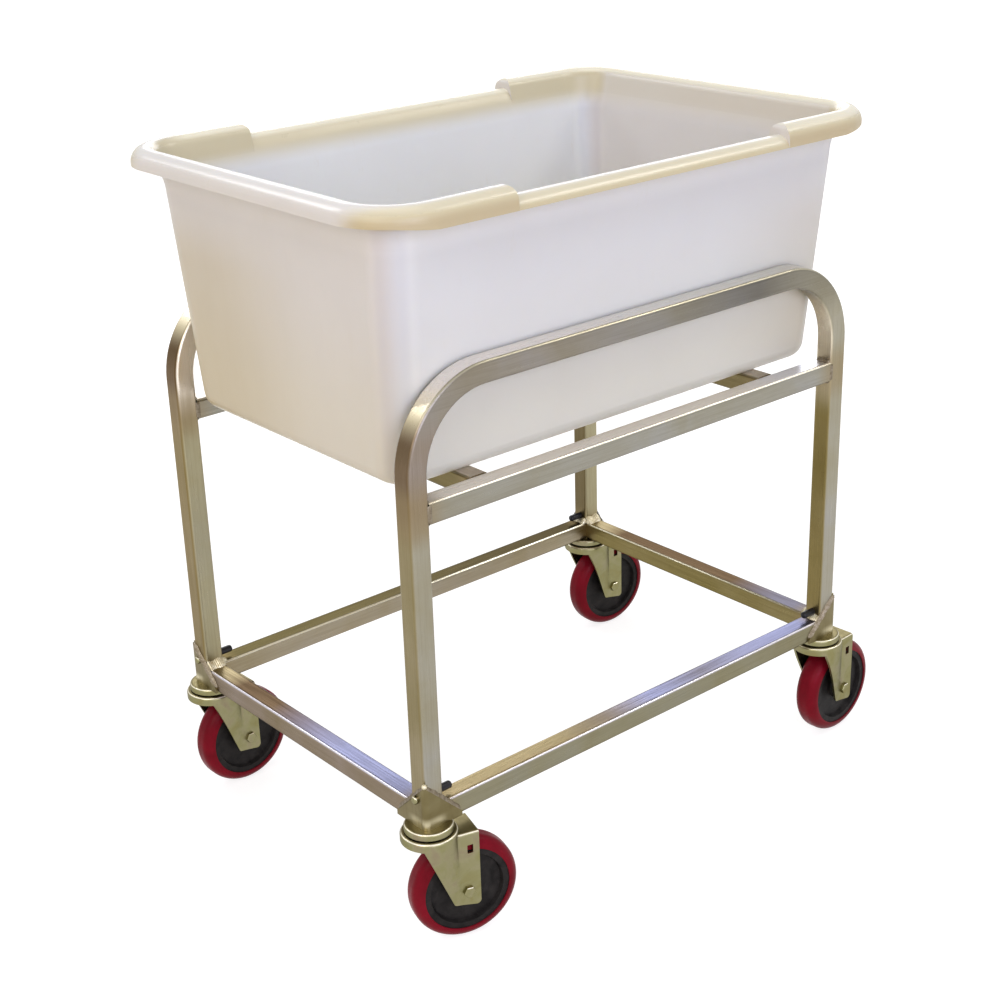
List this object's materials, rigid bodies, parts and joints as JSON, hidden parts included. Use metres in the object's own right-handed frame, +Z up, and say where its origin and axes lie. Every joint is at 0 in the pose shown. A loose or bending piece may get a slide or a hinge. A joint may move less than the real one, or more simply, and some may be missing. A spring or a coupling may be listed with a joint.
{
  "type": "bulk mover",
  "caption": "Bakery bulk mover: a white moulded tub with a rolled rim that lifts out of a welded square-tube frame, which rolls on swivel casters.",
  "frame": {"origin": "on the floor, under the middle of the whole object's box with the casters as pictured", "axes": "+X along the cart towards the end that the casters trail to, +Y across it, +Z up"},
  "size_m": [0.8001, 0.516, 0.8384],
  "materials": {
    "tub_plastic": "moulded, slightly translucent",
    "frame_aluminium": "satin, welded",
    "zinc_steel": "yellow zinc plate",
    "ball_steel": "polished",
    "black_cap": "moulded",
    "wheel_core": "moulded",
    "red_tread": "moulded",
    "bush_plastic": "plain"
  },
  "bodies": {
    "frame": {"side_loop_near": "frame_aluminium", "side_loop_far": "frame_aluminium", "mid_rail_near": "frame_aluminium", "mid_rail_far": "frame_aluminium", "cross_rail_near_end": "frame_aluminium", "cross_rail_far_end": "frame_aluminium", "lower_rail_near": "frame_aluminium", "lower_rail_far": "frame_aluminium", "end_rail_near_end": "frame_aluminium", "end_rail_far_end": "frame_aluminium", "corner_gusset_front": "frame_aluminium", "corner_gusset_left": "frame_aluminium", "corner_gusset_right": "frame_aluminium", "corner_gusset_far": "frame_aluminium", "stem_bolts": "zinc_steel", "bolt_caps": "black_cap", "caster_balls": "ball_steel", "caster_stem_front": "zinc_steel", "caster_stem_left": "zinc_steel", "caster_stem_right": "zinc_steel", "caster_stem_far": "zinc_steel", "upper_race_front": "zinc_steel", "upper_race_left": "zinc_steel", "upper_race_right": "zinc_steel", "upper_race_far": "zinc_steel", "king_nut_front": "zinc_steel", "king_nut_left": "zinc_steel", "king_nut_right": "zinc_steel", "king_nut_far": "zinc_steel"},
    "tub": {"tub": "tub_plastic"},
    "swivel_front": {"fork_front": "zinc_steel", "axle_bolt_front": "zinc_steel", "axle_nut_front": "zinc_steel"},
    "wheel_front": {"wheel_core_front": "wheel_core", "wheel_tread_front": "red_tread", "wheel_bush_front": "bush_plastic"},
    "swivel_left": {"fork_left": "zinc_steel", "axle_bolt_left": "zinc_steel", "axle_nut_left": "zinc_steel"},
    "wheel_left": {"wheel_core_left": "wheel_core", "wheel_tread_left": "red_tread", "wheel_bush_left": "bush_plastic"},
    "swivel_right": {"fork_right": "zinc_steel", "axle_bolt_right": "zinc_steel", "axle_nut_right": "zinc_steel"},
    "wheel_right": {"wheel_core_right": "wheel_core", "wheel_tread_right": "red_tread", "wheel_bush_right": "bush_plastic"},
    "swivel_far": {"fork_far": "zinc_steel", "axle_bolt_far": "zinc_steel", "axle_nut_far": "zinc_steel"},
    "wheel_far": {"wheel_core_far": "wheel_core", "wheel_tread_far": "red_tread", "wheel_bush_far": "bush_plastic"}
  },
  "joints": [
    {"name": "tub_lift", "type": "slide", "parent": "frame", "child": "tub", "axis": [0, 0, 1], "range_m": [0, 0.2]},
    {"name": "swivel_front", "type": "hinge", "parent": "frame", "child": "swivel_front", "pos_m": [-0.3536, -0.22156, 0.1445], "axis": [0, 0, 1], "continuous": true},
    {"name": "roll_front", "type": "hinge", "parent": "swivel_front", "child": "wheel_front", "pos_m": [-0.31855, -0.23174, 0.0635], "axis": [0.279, 0.9603, 0], "continuous": true},
    {"name": "swivel_left", "type": "hinge", "parent": "frame", "child": "swivel_left", "pos_m": [-0.3536, 0.22156, 0.1445], "axis": [0, 0, 1], "continuous": true},
    {"name": "roll_left", "type": "hinge", "parent": "swivel_left", "child": "wheel_left", "pos_m": [-0.31711, 0.22251, 0.0635], "axis": [-0.0262, 0.9997, 0], "continuous": true},
    {"name": "swivel_right", "type": "hinge", "parent": "frame", "child": "swivel_right", "pos_m": [0.3, -0.22156, 0.1445], "axis": [0, 0, 1], "continuous": true},
    {"name": "roll_right", "type": "hinge", "parent": "swivel_right", "child": "wheel_right", "pos_m": [0.33645, -0.21965, 0.0635], "axis": [-0.0523, 0.9986, 0], "continuous": true},
    {"name": "swivel_far", "type": "hinge", "parent": "frame", "child": "swivel_far", "pos_m": [0.3, 0.22156, 0.1445], "axis": [0, 0, 1], "continuous": true},
    {"name": "roll_far", "type": "hinge", "parent": "swivel_far", "child": "wheel_far", "pos_m": [0.33641, 0.21901, 0.0635], "axis": [0.0698, 0.9976, 0], "continuous": true}
  ]
}
